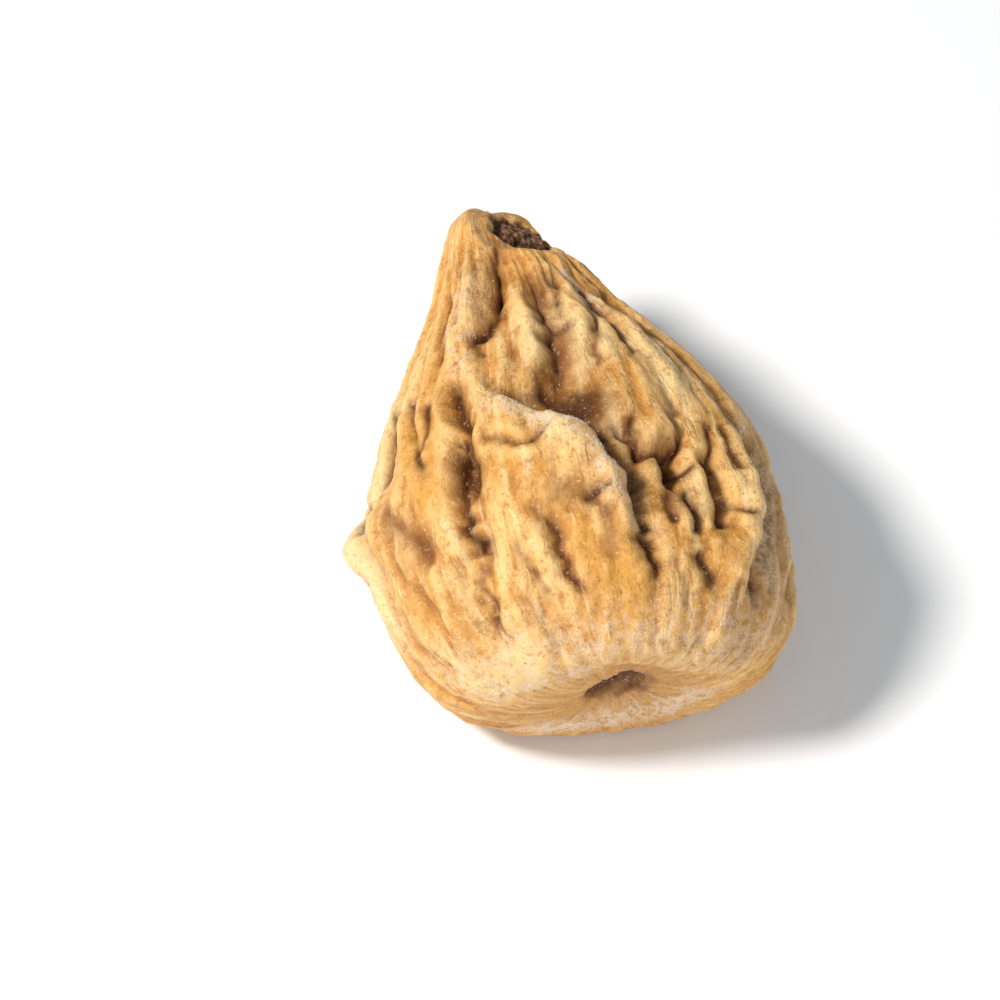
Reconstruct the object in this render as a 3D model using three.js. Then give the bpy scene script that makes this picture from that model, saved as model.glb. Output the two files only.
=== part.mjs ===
// A dried fig, soft-dried in its skin: a flattened pear-shaped fruit with the eye at its blunt
// end and, at the tip of its short neck, the slanting dry scar of the stem it hung by. It lies
// on its flattened back. Skin, flesh and scar grew as one piece, so it is one closed body.
//
// Millimetres, +Z up. The long axis runs along +Y with the stem at +Y, and z = 0 is the flat
// patch the fruit rests on.
import * as THREE from 'three';

// ---- Driving dimensions ----

// Outline of the whole fruit seen square on, from the middle of the eye to the tip of the
// stem: [half width, height along the axis].
const OUTLINE = [
  [0, 1.8], [1.6, 1.5], [3.6, 0.3], [6.5, -0.4], [10.5, -0.1], [14, 1.6], [16.7, 4.9],
  [18.2, 9.4], [18.6, 14.4], [18, 19.4], [16.3, 24.4], [13.8, 29.2], [10.9, 33.8],
  [8.2, 38.2], [6.3, 42.2], [5.2, 45.4], [4.3, 47.7], [3.1, 49.3], [1.6, 50.1], [0, 50.3],
];
const FRONT_DEPTH = 0.74; // depth over half width, upper side
const BACK_DEPTH = 0.72; // the same, the side it lies on
const BACK_SAG = 0.07; // the back sags a little below the neck and widens what it rests on
const ROUND_FROM = 26; // the section turns from flattened to round between these heights
const ROUND_TO = 44;
const NECK_LIFT_DEG = 12; // the stem end stands up from the table by this angle
const STEM_CUT_AT = [0.5, 46.3, 1.6]; // the neck ends in a slanting flat here, where it was cut
const STEM_CUT_FACES = [0.5, 0.42, 0.75]; // across, along, up
const STEM_CUT_EDGE = 0.5; // height over which the edge of that flat is rounded
const REST_CUT = 2.9; // how far the soft back is pressed flat
const REST_EASE = 1.4; // height over which the flat runs out

const STATIONS = 46; // rings of points from eye to stem
const AROUND = 96; // points in each ring

// Soft lengthwise pleats, drawn together at the eye and at the neck.
const PLEATS = 17;
const PLEAT_DEPTH = 0.34;

// The main folds: places as [degrees round from the top, to the right; millimetres along the
// skin from the eye]. Width is from the middle of the fold to where it has nearly run out.
const FOLDS = [
  { depth: 1.5, width: 1.5, path: [[-38, 45], [-32, 40], [-31, 36], [-35, 31], [-31, 24]] },
  { depth: 1.1, width: 1.3, path: [[-19, 61], [-21, 54], [-27, 48]] },
  { depth: 1.1, width: 1.5, path: [[5, 56], [1, 50], [2, 44], [2, 39]] },
  { depth: 1.5, width: 1.6, path: [[-8, 42], [2, 39], [8, 35], [12, 31], [12, 25], [15, 19]] },
  { depth: 1.2, width: 1.4, path: [[17, 37], [17, 33], [26, 32], [24, 28], [29, 25]] },
  { depth: 1.1, width: 1.3, path: [[38, 34], [38, 30], [38, 25]] },
  { depth: 1.4, width: 1.6, path: [[61, 35], [57, 30], [53, 24], [50, 20], [52, 16]] },
  { depth: 0.8, width: 1.4, path: [[-58, 45], [-56, 39], [-50, 35]] },
  { depth: 0.7, width: 1.4, path: [[-17, 29], [-12, 25], [-10, 19]] },
  { depth: 0.9, width: 1.5, path: [[21, 54], [21, 46], [24, 41]] },
  { depth: 1.0, width: 1.6, path: [[92, 44], [96, 36], [90, 27], [94, 18]] },
  { depth: 1.0, width: 1.6, path: [[128, 47], [122, 38], [130, 28], [127, 20]] },
  { depth: 1.0, width: 1.6, path: [[-92, 45], [-98, 36], [-92, 26], [-97, 17]] },
  { depth: 1.0, width: 1.6, path: [[-132, 46], [-126, 37], [-134, 28], [-128, 19]] },
  { depth: 0.9, width: 1.6, path: [[172, 46], [176, 38], [170, 30]] },
];

// Dents: the middle as above, with the radius and depth.
const DENTS = [
  { at: [4, 6.6], radius: 3.8, depth: 1.4 }, // the notch in the lip of the base
  { at: [0, 1], radius: 2.0, depth: 0.9 }, // the eye, laid open by the notch
  { at: [50, 66], radius: 2.7, depth: 0.5 }, // the scar of the stem
];

// ---- Small helpers ----

const rad = (deg) => (deg * Math.PI) / 180;
const clamp01 = (x) => Math.min(1, Math.max(0, x));
const bell = (x, middle, width) => Math.exp(-(((x - middle) / width) ** 2));

function ease(x, from, to) {
  const t = clamp01((x - from) / (to - from));
  return t * t * (3 - 2 * t);
}

// ---- The outline, measured along the skin ----

function smoothOutline() {
  const first = OUTLINE[0];
  const last = OUTLINE[OUTLINE.length - 1];
  const afterFirst = OUTLINE[1];
  const beforeLast = OUTLINE[OUTLINE.length - 2];
  const points = [
    [-afterFirst[0], afterFirst[1]],
    first,
    ...OUTLINE.slice(1, -1),
    last,
    [-beforeLast[0], beforeLast[1]],
  ];
  const steps = 40;
  const curve = [];
  for (let i = 1; i < points.length - 2; i += 1) {
    for (let k = 0; k < steps; k += 1) {
      const t = k / steps;
      const at = [0, 1].map((axis) => {
        const [a, b, c, d] = [-1, 0, 1, 2].map((n) => points[i + n][axis]);
        const bend = (2 * a - 5 * b + 4 * c - d) * t * t + (3 * b - a - 3 * c + d) * t ** 3;
        return 0.5 * (2 * b + (c - a) * t + bend);
      });
      curve.push([Math.max(0, at[0]), at[1]]);
    }
  }
  curve.push(last);
  const along = [0];
  for (let i = 1; i < curve.length; i += 1) {
    const step = Math.hypot(curve[i][0] - curve[i - 1][0], curve[i][1] - curve[i - 1][1]);
    along.push(along[i - 1] + step);
  }
  return { curve, along, length: along[along.length - 1] };
}

const outline = smoothOutline();

function outlineAt(distance) {
  const { curve, along, length } = outline;
  const s = Math.min(length, Math.max(0, distance));
  let i = 1;
  while (i < along.length - 1 && along[i] < s) {
    i += 1;
  }
  const t = (s - along[i - 1]) / (along[i] - along[i - 1]);
  return [0, 1].map((axis) => curve[i - 1][axis] * (1 - t) + curve[i][axis] * t);
}

// ---- The fruit without its folds ----

function easedOver(x, soft) {
  if (x > soft) {
    return x;
  }
  if (x < -soft) {
    return 0;
  }
  return x + (soft - x) ** 2 / (4 * soft);
}

// Skin that would stand past the slanting flat at the tip of the neck is brought back to it.
function cutByStem(across, height, depth) {
  const place = [across, height, depth];
  const over = place.reduce((sum, at, i) => sum + STEM_CUT_FACES[i] * (at - STEM_CUT_AT[i]), 0);
  const cut = over - 9 * (1 - ease(height, 37, 45));
  const back = -cut - easedOver(-cut, STEM_CUT_EDGE);
  return place.map((at, i) => at + back * STEM_CUT_FACES[i]);
}

function plainPoint(degrees, distance) {
  const [halfWidth, height] = outlineAt(distance);
  const sine = Math.sin(rad(degrees));
  const cosine = Math.cos(rad(degrees));
  const round = ease(height, ROUND_FROM, ROUND_TO);
  const backDepth = BACK_DEPTH + BACK_SAG * bell(height, 25, 8);
  const flatness = cosine > 0 ? FRONT_DEPTH : backDepth;
  const depth = halfWidth * cosine * (flatness + (1 - flatness) * round);
  const right = Math.max(0, sine);
  const left = Math.max(0, -sine);
  let across = halfWidth * sine;
  across += 1.15 * bell(height, 27, 8) * right; // fuller shoulder on the right
  across -= 1.25 * bell(height, 34, 11) * left; // straighter flank on the left
  across -= 0.9 * ease(height, 38, 50); // the neck leans
  across -= 1.7 * bell(height, 17.9, 2.3) * left ** 6; // the end of a fold stands out
  const [x, along, up] = cutByStem(across, height, depth);
  const baseSlope = 0.07 * clamp01(1 - height / 26) * x;
  const y = along - baseSlope;
  const lift = rad(NECK_LIFT_DEG);
  return new THREE.Vector3(
    x,
    y * Math.cos(lift) - up * Math.sin(lift),
    y * Math.sin(lift) + up * Math.cos(lift),
  );
}

function outwardNormal(degrees, distance) {
  const turn = 1;
  const reach = 0.4;
  const inner = Math.max(0.5, distance - reach);
  const outer = Math.min(outline.length - 0.5, distance + reach);
  const across = plainPoint(degrees + turn, distance).sub(plainPoint(degrees - turn, distance));
  const along = plainPoint(degrees, outer).sub(plainPoint(degrees, inner));
  return across.cross(along).normalize();
}

// ---- Folds and pleats ----

function foldLine({ path }) {
  const line = [];
  const steps = 8;
  for (let i = 0; i < path.length - 1; i += 1) {
    for (let k = 0; k < steps; k += 1) {
      const t = k / steps;
      const degrees = path[i][0] * (1 - t) + path[i + 1][0] * t;
      const distance = path[i][1] * (1 - t) + path[i + 1][1] * t;
      line.push(plainPoint(degrees, distance));
    }
  }
  const end = path[path.length - 1];
  line.push(plainPoint(end[0], end[1]));
  return line;
}

const foldLines = FOLDS.map(foldLine);

function foldDepth(point) {
  let total = 0;
  foldLines.forEach((line, index) => {
    const { depth, width } = FOLDS[index];
    let nearest = Infinity;
    let place = 0;
    line.forEach((at, i) => {
      const gap = at.distanceTo(point);
      if (gap < nearest) {
        nearest = gap;
        place = i / (line.length - 1);
      }
    });
    const runOut = ease(Math.min(place, 1 - place), -0.08, 0.2);
    const groove = Math.exp(-((nearest / width) ** 2));
    const lips = 0.3 * bell(nearest, 2.1 * width, 0.9 * width);
    total += depth * runOut * (groove - lips);
  });
  return total;
}

function dentDepth(point) {
  return DENTS.reduce((total, { at, radius, depth }) => {
    const gap = plainPoint(at[0], at[1]).distanceTo(point);
    return total + depth * Math.exp(-((gap / radius) ** 4));
  }, 0);
}

function pleatHeight(degrees, distance) {
  const sway = 9 * Math.sin(0.16 * distance) + 5 * Math.sin(0.31 * distance + 1.3);
  const wave = Math.cos(rad(PLEATS * (degrees + sway)) + 0.9 * Math.sin(rad(3 * degrees)));
  const fromEye = ease(distance, 2, 16);
  const toStem = 1 - ease(distance, 56, 64);
  return PLEAT_DEPTH * wave * fromEye * toStem;
}

function lowestPlainPoint() {
  let lowest = Infinity;
  for (let distance = 0; distance < outline.length; distance += 1) {
    for (let degrees = 0; degrees < 360; degrees += 4) {
      lowest = Math.min(lowest, plainPoint(degrees, distance).z);
    }
  }
  return lowest;
}

const tableHeight = lowestPlainPoint() + REST_CUT;

function skinPoint(degrees, distance) {
  const plain = plainPoint(degrees, distance);
  const normal = outwardNormal(degrees, distance);
  const poleEase = ease(Math.min(distance, outline.length - distance), 1, 5);
  const folds = (pleatHeight(degrees, distance) - foldDepth(plain)) * poleEase;
  const rise = folds - dentDepth(plain);
  const point = plain.addScaledVector(normal, rise);
  point.z = easedOver(point.z - tableHeight, REST_EASE);
  return point;
}

// ---- The closed body ----

function figGeometry() {
  const positions = [];
  const indices = [];
  const add = (point) => positions.push(point.x, point.y, point.z);

  add(skinPoint(0, 0));
  for (let ring = 1; ring < STATIONS; ring += 1) {
    const distance = (outline.length * ring) / STATIONS;
    for (let step = 0; step < AROUND; step += 1) {
      add(skinPoint((360 * step) / AROUND, distance));
    }
  }
  add(skinPoint(0, outline.length));

  const corner = (index) => new THREE.Vector3().fromArray(positions, 3 * index);
  const gap = (one, other) => corner(one).distanceTo(corner(other));
  const at = (ring, step) => 1 + (ring - 1) * AROUND + (step % AROUND);
  const tip = 1 + (STATIONS - 1) * AROUND;
  for (let step = 0; step < AROUND; step += 1) {
    indices.push(0, at(1, step + 1), at(1, step));
    indices.push(tip, at(STATIONS - 1, step), at(STATIONS - 1, step + 1));
    for (let ring = 1; ring < STATIONS - 1; ring += 1) {
      const a = at(ring, step);
      const b = at(ring, step + 1);
      const c = at(ring + 1, step + 1);
      const d = at(ring + 1, step);
      if (gap(a, c) < gap(b, d)) {
        indices.push(a, b, c, a, c, d);
      } else {
        indices.push(a, b, d, b, c, d);
      }
    }
  }

  const geometry = new THREE.BufferGeometry();
  geometry.setAttribute('position', new THREE.Float32BufferAttribute(positions, 3));
  geometry.setIndex(indices);
  geometry.computeBoundingBox();
  const { min, max } = geometry.boundingBox;
  geometry.translate(-(min.x + max.x) / 2, -(min.y + max.y) / 2, 0);
  geometry.computeVertexNormals();
  return geometry;
}

const skin = new THREE.MeshStandardMaterial({
  color: 0xd2a063,
  roughness: 0.62,
  metalness: 0,
});

const driedFig = new THREE.Mesh(figGeometry(), skin);
driedFig.name = 'dried_fig';

const part = new THREE.Group();
part.name = 'fig';
part.add(driedFig);

export default part;
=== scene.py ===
import math

import bpy
import numpy as np
from mathutils import Matrix, Vector


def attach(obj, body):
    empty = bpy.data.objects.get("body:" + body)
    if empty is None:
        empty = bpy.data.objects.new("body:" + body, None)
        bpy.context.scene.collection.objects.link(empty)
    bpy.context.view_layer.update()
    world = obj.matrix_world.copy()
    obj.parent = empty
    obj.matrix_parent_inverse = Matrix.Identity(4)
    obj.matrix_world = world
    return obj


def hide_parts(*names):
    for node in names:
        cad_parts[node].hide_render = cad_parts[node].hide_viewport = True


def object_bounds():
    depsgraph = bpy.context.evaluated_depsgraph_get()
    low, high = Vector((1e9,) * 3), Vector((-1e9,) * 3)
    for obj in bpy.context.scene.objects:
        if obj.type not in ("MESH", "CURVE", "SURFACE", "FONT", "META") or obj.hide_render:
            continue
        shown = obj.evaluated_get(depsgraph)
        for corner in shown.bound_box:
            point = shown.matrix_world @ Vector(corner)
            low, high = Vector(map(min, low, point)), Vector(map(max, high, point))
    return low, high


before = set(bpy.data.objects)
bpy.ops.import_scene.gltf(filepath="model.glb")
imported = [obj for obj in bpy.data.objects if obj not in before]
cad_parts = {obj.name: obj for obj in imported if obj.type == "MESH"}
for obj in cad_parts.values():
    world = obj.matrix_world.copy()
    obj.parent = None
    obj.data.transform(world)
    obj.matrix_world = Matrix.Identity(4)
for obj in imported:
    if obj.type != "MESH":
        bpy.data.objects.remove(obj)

cad_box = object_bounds()

# ---------------------------------------------------------------------------------------------
# The fruit
# One body of soft-dried flesh in its skin, grown from the stem end and closed at the eye. The
# skin is laid out plain first, as rings round the axis in millimetres, and then folded as it
# folded in drying. A place on it is (degrees round from the top, mm along from the eye).
# ---------------------------------------------------------------------------------------------
MM = 0.001
RINGS = 276
AROUND = 352
OUTLINE = [  # half width and height along the axis, from the middle of the eye to the stem
    (0, 1.8), (1.6, 1.5), (3.6, 0.3), (6.5, -0.4), (10.5, -0.1), (14, 1.6), (16.7, 4.9),
    (18.2, 9.4), (18.6, 14.4), (18, 19.4), (16.3, 24.4), (13.8, 29.2), (10.9, 33.8),
    (8.2, 38.2), (6.3, 42.2), (5.2, 45.4), (4.3, 47.7), (3.1, 49.3), (1.6, 50.1), (0, 50.3),
]
FRONT_DEPTH = 0.74  # depth over half width
BACK_DEPTH = 0.72
BACK_SAG = 0.07  # how much fuller the back is below the neck
ROUND_FROM, ROUND_TO = 26, 44  # the section turns from flattened to round between these
RIGHT_SHOULDER = 1.15
LEFT_FLANK = 1.25
NECK_LEAN = 0.9
LEFT_KNOB = 1.7  # the end of a fold that stands out on the left
BASE_SLOPE = 0.07
NECK_LIFT = math.radians(12)
STEM_CUT_AT = (0.5, 46.3, 1.6)  # across, along, up: a point of the stem's scar
STEM_CUT_FACES = (0.50, 0.42, 0.75)
STEM_CUT_EDGE = 0.5
STEM_CUT_CLEAR = 9  # how far the cut's plane stands clear of the body below the neck
REST_CUT = 2.9  # how far the soft back is pressed flat
REST_EASE = 1.4  # height over which the pressed patch runs out


def ease(x, start, stop):
    t = np.clip((x - start) / (stop - start), 0, 1)
    return t * t * (3 - 2 * t)


def bell(x, middle, width):
    return np.exp(-(((x - middle) / width) ** 2))


def eased_clamp(x, soft):
    """x where it is over 0, 0 where it is under, rounded off over soft to each side."""
    eased = x + (soft - x) ** 2 / (4 * soft)
    return np.where(x > soft, x, np.where(x < -soft, 0, eased))


def smooth_line(knots, steps):
    """A curve through all the knots but the first and the last, which only steer its ends."""
    t = (np.arange(steps) / steps)[:, None]
    line = []
    for a, b, c, d in zip(knots, knots[1:], knots[2:], knots[3:]):
        bend = (2 * a - 5 * b + 4 * c - d) * t**2 + (3 * b - a - 3 * c + d) * t**3
        line.append(0.5 * (2 * b + (c - a) * t + bend))
    return np.vstack([*line, knots[-2]])


def drawn_outline():
    """The outline as one smooth line, with the distance along the skin at each of its points."""
    knots = np.array(OUTLINE, float)
    before = knots[1] * (-1, 1)
    after = knots[-2] * (-1, 1)
    line = smooth_line(np.vstack([before, knots, after]), steps=60)
    line[:, 0] = np.maximum(line[:, 0], 0)
    gaps = np.hypot(*np.diff(line, axis=0).T)
    return line, np.concatenate([[0], np.cumsum(gaps)])


outline_line, outline_run = drawn_outline()
SKIN_LENGTH = outline_run[-1]


def stem_cut_depth(across, height, depth):
    """How far a point of the whole, uncut neck stands past the plane of the stem's scar."""
    cut = sum(way * (x - at) for way, x, at in
              zip(STEM_CUT_FACES, (across, height, depth), STEM_CUT_AT))
    return cut - STEM_CUT_CLEAR * (1 - ease(height, 37, 45))


def uncut(degrees, run):
    """Where a skin point would lie if the neck ran on past the scar: across, height, depth."""
    half = np.interp(run, outline_run, outline_line[:, 0])
    height = np.interp(run, outline_run, outline_line[:, 1])
    angle = np.radians(degrees)
    sine, cosine = np.sin(angle), np.cos(angle)
    flat = np.where(cosine > 0, FRONT_DEPTH, BACK_DEPTH + BACK_SAG * bell(height, 25, 8))
    depth = half * cosine * (flat + (1 - flat) * ease(height, ROUND_FROM, ROUND_TO))
    right, left = np.clip(sine, 0, 1), np.clip(-sine, 0, 1)
    across = half * sine
    across = across + RIGHT_SHOULDER * bell(height, 27, 8) * right
    across = across - LEFT_FLANK * bell(height, 34, 11) * left
    across = across - NECK_LEAN * ease(height, 38, 50)
    across = across - LEFT_KNOB * bell(height, 17.9, 2.3) * left**6
    return across, height, depth


def fruit_place(degrees, run):
    """Where a skin point lies in the fruit itself: across, along and up from its axis."""
    across, height, depth = uncut(degrees, run)
    cut = stem_cut_depth(across, height, depth)
    back = -cut - eased_clamp(-cut, STEM_CUT_EDGE)
    across = across + back * STEM_CUT_FACES[0]
    depth = depth + back * STEM_CUT_FACES[2]
    along = height + back * STEM_CUT_FACES[1]
    along = along - BASE_SLOPE * np.clip(1 - height / 26, 0, 1) * across
    return np.stack([across, along, depth], axis=-1)


def plain_skin(degrees, run):
    """Points of the fruit without folds: degrees round from the top, mm along from the eye."""
    across, along, depth = np.moveaxis(fruit_place(degrees, run), -1, 0)
    return np.stack([
        across,
        along * math.cos(NECK_LIFT) - depth * math.sin(NECK_LIFT),
        along * math.sin(NECK_LIFT) + depth * math.cos(NECK_LIFT),
    ], axis=-1)


def grid_normals(points):
    """Outward normals of a grid of skin points, rings by around."""
    around = np.roll(points, -1, axis=1) - np.roll(points, 1, axis=1)
    up = np.gradient(points, axis=0)
    normal = np.cross(around, up)
    return normal / np.maximum(np.linalg.norm(normal, axis=-1, keepdims=True), 1e-9)


degrees_row = np.arange(AROUND) * 360 / AROUND
run_column = SKIN_LENGTH * (np.arange(RINGS) + 0.5) / RINGS
DEGREES, RUN = np.meshgrid(degrees_row, run_column)
SIGNED = (DEGREES + 180) % 360 - 180
plain = plain_skin(DEGREES, RUN)
outward = grid_normals(plain)
rise = np.zeros_like(RUN)
shift = np.zeros_like(plain)
MARKS = ("painted_shade", "brown", "amber", "red", "pale", "dusty", "grey")
marks = {name: np.zeros_like(RUN) for name in MARKS}

WAVES = 30


def ripple(points, spacing, seed):
    """Smooth unevenness of about that spacing in mm, between about -1 and 1."""
    rng = np.random.default_rng(seed)
    ways = rng.normal(size=(WAVES, 3))
    ways /= np.linalg.norm(ways, axis=1, keepdims=True)
    ways *= 2 * math.pi / spacing * rng.uniform(0.7, 1.5, (WAVES, 1))
    total = np.zeros(points.shape[:-1])
    for turn, start in zip(ways, rng.uniform(0, 2 * math.pi, WAVES)):
        total += np.cos(points @ turn + start)
    return total / math.sqrt(WAVES)


def three_ripples(points, spacing, seed):
    return np.stack([ripple(points, spacing, seed + i) for i in range(3)], axis=-1)


# No fold runs straight: every place on the skin is felt a little off where it is.
felt = plain + 0.32 * three_ripples(plain, 5.5, 300) + 0.07 * three_ripples(plain, 1.7, 310)
uneven = ripple(plain, 3.0, 320)


# Folds drawn where this fruit has them. A fold is a groove with rounded lips that lean
# over it; a ledge is a step where a raised part of the skin hangs over a sunken one.
def skin_line(path, wobble=0.0, seed=0):
    """A smooth line on the plain skin through places given as (degrees, mm along)."""
    knots = np.array(path, float)
    before, after = 2 * knots[0] - knots[1], 2 * knots[-1] - knots[-2]
    line = smooth_line(np.vstack([before, knots, after]), steps=7)
    if wobble:
        way = np.random.default_rng(seed).normal(0, wobble, len(line))
        line[:, 0] += np.convolve(way, np.ones(3) / 3, mode="same")
    return plain_skin(line[:, 0], line[:, 1])


def near_line(line, reach):
    """For skin points near a line: which they are, gap in mm, side, place 0 to 1, way to it."""
    low, high = line.min(axis=0) - reach, line.max(axis=0) + reach
    near = np.all((felt > low) & (felt < high), axis=-1)
    points, normals = felt[near], outward[near]
    best = np.full(len(points), 1e9)
    side = np.zeros(len(points))
    place = np.zeros(len(points))
    way = np.zeros_like(points)
    lengths = np.linalg.norm(np.diff(line, axis=0), axis=1)
    walked = np.concatenate([[0], np.cumsum(lengths)])
    for i, (a, b) in enumerate(zip(line, line[1:])):
        leg = b - a
        t = np.clip(((points - a) @ leg) / max(leg @ leg, 1e-9), 0, 1)
        away = points - (a + t[:, None] * leg)
        gap = np.linalg.norm(away, axis=1)
        closer = gap < best
        best[closer] = gap[closer]
        turn = np.einsum("ij,ij->i", np.cross(leg, away), normals)
        side[closer] = np.sign(turn[closer])
        place[closer] = (walked[i] + t[closer] * lengths[i]) / walked[-1]
        way[closer] = -away[closer] / np.maximum(gap[closer], 1e-6)[:, None]
    return near, best, side, place, way


def run_out(place, start, stop):
    """1 in the middle of a line, easing to 0 over the given share of it at each end."""
    first = ease(place, -0.02, start) if start > 0 else 1.0
    last = ease(1 - place, -0.02, stop) if stop > 0 else 1.0
    return first * last


PINCH = 0.4  # how far lips are drawn in, as a share of the groove's width


def fold(path, depth, width, lip=0.22, ends=(0.25, 0.25), shade_strength=1.0, red=0.0, wobble=1.0,
         seed=1):
    """A groove along the path, with lips on both sides that are drawn in over it."""
    near, gap, side, place, way = near_line(skin_line(path, wobble, seed), 5 * width)
    hold = run_out(place, *ends) * (1 + 0.2 * uneven[near])
    groove = 0.62 * np.exp(-((gap / width) ** 1.3)) + 0.38 * np.exp(-((gap / width / 2.6) ** 2))
    lips = bell(gap, 2.4 * width, 1.3 * width) * (1 + 0.6 * side * math.cos(seed * 2.4))
    rise[near] += depth * hold * (lip * lips - groove)
    pull = PINCH * width * hold * (gap / width) * np.exp(-((gap / width) ** 2) * 0.6)
    shift[near] += way * pull[:, None]
    # Painted shade: near-black brown along the middle of the groove, where shade falls.
    shade = np.exp(-((gap / (0.8 * width)) ** 2)) * np.clip(1.5 * hold, 0, 1)
    marks["painted_shade"][near] = np.maximum(marks["painted_shade"][near], shade_strength * shade)
    marks["red"][near] = np.maximum(marks["red"][near], red * bell(gap, 0, 1.9 * width) * hold)


def ledge(path, height, hollow, width, fade, lean=0.5, ends=(0.2, 0.2), shade_strength=0.8, seed=1):
    """The side on the right of the path stands up; the left is sunken, with painted shade at its
    foot.
    """
    near, gap, side, place, way = near_line(skin_line(path, 1.0, seed), 4 * fade)
    hold = run_out(place, *ends)
    signed = -gap * side
    step = ease(signed, -0.5 * width, 0.9 * width)
    rise[near] += height * hold * step * np.exp(-((np.maximum(signed, 0) / fade) ** 2))
    foot = bell(signed, -0.9 * width, 1.3 * width)
    rise[near] -= hollow * hold * foot
    crest = bell(signed, 0.5 * width, 0.8 * width)
    shift[near] += way * (lean * hold * crest)[:, None]
    # Painted shade along the foot of the step; dust on its crest.
    marks["painted_shade"][near] = np.maximum(
        marks["painted_shade"][near], shade_strength * hold * bell(signed, -0.6 * width, 0.7 * width))
    marks["dusty"][near] = np.maximum(
        marks["dusty"][near], hold * bell(signed, 0.9 * width, 1.0 * width))


def brushed(name, path, width, amount, ends=(0.3, 0.3)):
    """Marks the skin along a line, for a tint there."""
    near, gap, side, place, way = near_line(skin_line(path), 3 * width)
    hold = amount * run_out(place, *ends)
    marks[name][near] = np.maximum(marks[name][near], hold * bell(gap, 0, width))


def swelling(degrees, run, across, along, height, turn=0.0):
    """A rounded lump, or a dent if height is negative, across and along in mm."""
    middle = plain_skin(np.array(degrees), np.array(run))
    east = plain_skin(np.array(degrees + 2), np.array(run)) - middle
    north = plain_skin(np.array(degrees), np.array(run + 0.5)) - middle
    east, north = east / np.linalg.norm(east), north / np.linalg.norm(north)
    away = felt - middle
    x, y = away @ east, away @ north
    turn = math.radians(turn)
    x, y = x * math.cos(turn) + y * math.sin(turn), y * math.cos(turn) - x * math.sin(turn)
    far = np.linalg.norm(away, axis=-1) > 3 * max(across, along)
    shape = np.exp(-((x / across) ** 2 + (y / along) ** 2))
    shape[far] = 0
    rise[:] += height * shape


# The large forms of the upper side: ridges and hollows that the folds lie on.
swelling(-10, 30, 5.5, 7.5, 0.5)
swelling(-33, 32, 1.8, 9.0, -0.6)
swelling(-45, 33, 3.0, 8.0, 0.45)
swelling(-36, 53, 1.9, 10.0, 0.6)
swelling(-12, 52, 2.8, 7.0, -0.65)
swelling(1, 41, 3.0, 4.2, -1.2)
swelling(27, 31, 4.6, 6.0, -0.85)
swelling(30, 44, 2.4, 5.5, 0.35)
swelling(51, 29, 1.5, 7.5, 0.75)
swelling(64, 27, 2.2, 9.0, -0.5)
swelling(-62, 24, 4.0, 7.0, 0.4)

# The raised panel in the middle of the upper side, and the sunken ground above it.
ledge([(-29, 43.6), (-24, 42.5), (-15, 40.4), (-6, 38), (0.5, 36), (5, 34), (8.3, 32),
       (10.3, 29.8), (12, 27), (13, 25)],
      height=1.25, hollow=1.3, width=1.15, fade=4.0, lean=0.35, ends=(0.25, 0.3))
swelling(-1, 33.5, 1.5, 3.6, 0.5, turn=-20)
swelling(6, 29.5, 1.5, 3.4, 0.55)
swelling(8, 24, 1.3, 3.6, 0.4)
fold([(-12, 42.6), (-5, 41.2), (0.5, 39.8), (4, 38.2), (7.5, 36.2), (10.5, 34)], 1.5, 1.0,
     lip=0.1, red=0.5)
# Painted shadow of the ledge: the groove under it and the sunken ground above the panel are
# brushed near-black and brown.
brushed("painted_shade", [(-5, 41.8), (1, 40.6), (5, 38.8), (9, 36.6)], 1.6, 0.95)
brushed("painted_shade", [(1, 42.2), (6, 40.4), (10, 38)], 1.2, 0.85)
brushed("brown", [(-14, 43.5), (-6, 43), (2, 41.5), (8, 39), (13, 36)], 2.3, 1.0,
        ends=(0.2, 0.2))
swelling(2, 42, 2.6, 2.6, -0.8)

# Long folds of the left side.
fold([(-42, 46.6), (-38, 44.3), (-34, 42), (-31.8, 39.2), (-31.5, 36.5), (-30.5, 34), (-30.5, 31),
      (-29, 29)], 1.8, 0.62, lip=0.32, ends=(0.2, 0.3), red=0.4)
fold([(-32.5, 36.5), (-35, 33.5), (-36, 31.5), (-36, 29.3), (-34, 27), (-33, 25), (-31, 22.5)],
     1.4, 0.62, lip=0.3, ends=(0.12, 0.35), red=0.6)
# Painted shade: brown brushed along the middle of the long left crease.
brushed("brown", [(-33, 37), (-34, 33.5), (-34.5, 30.5)], 1.3, 0.85)
fold([(-64, 46.7), (-55, 41.5), (-49, 37.2), (-46, 33.8)], 1.0, 0.6, lip=0.35)
fold([(-47, 44), (-47, 41), (-49, 38)], 0.5, 0.6)
fold([(-64, 35), (-61, 32), (-56, 29.5), (-50, 26)], 0.8, 0.9, red=0.6, shade_strength=0.5)
fold([(-72, 46), (-70, 40), (-73, 35)], 0.9, 0.9)
fold([(-28, 36.6), (-20, 34.9), (-12, 34.2), (-8, 35.4), (-5, 36.3)], 0.7, 0.5, lip=0.5,
     shade_strength=0.6)
swelling(-9, 33, 2.2, 1.6, 0.35)

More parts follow.
